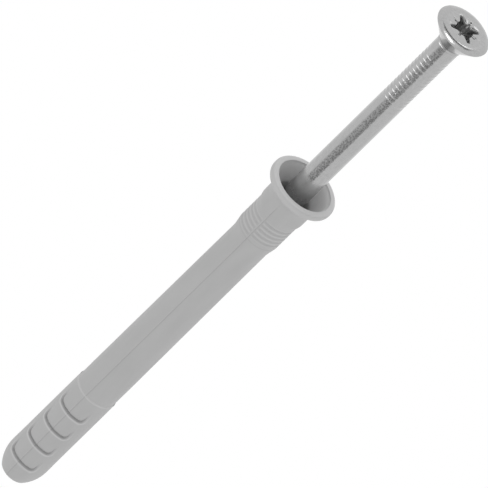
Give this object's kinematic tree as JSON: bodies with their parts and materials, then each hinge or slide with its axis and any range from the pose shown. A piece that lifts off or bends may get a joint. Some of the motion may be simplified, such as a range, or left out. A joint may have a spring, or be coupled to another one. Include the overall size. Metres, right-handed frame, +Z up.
{
  "type": "hammer fixing",
  "caption": "Nylon hammer fixing for a drilled hole: slotted, barbed sleeve with a countersunk hammer screw standing part-way in, ready to be driven home.",
  "frame": {"origin": "on the ground under the centre of the screw's flat head, on which the fixing stands", "axes": "+Z up along the fixing's axis, from the screw's head towards the sleeve's tip; -Y towards the front, the side beside the sleeve's moulding seam; +X across"},
  "size_m": [0.0126, 0.0126, 0.1268],
  "materials": {
    "nylon": "moulded satin grey nylon",
    "zinc_plated_steel": "bright zinc plating with a fine mottle"
  },
  "bodies": {
    "sleeve_body": {"sleeve": "nylon"},
    "screw_body": {"hammer_screw": "zinc_plated_steel"}
  },
  "joints": [
    {"name": "screw_drive", "type": "slide", "parent": "screw_body", "child": "sleeve_body", "axis": [0, 0, -1], "range_m": [-0.0334, 0.04435]}
  ]
}
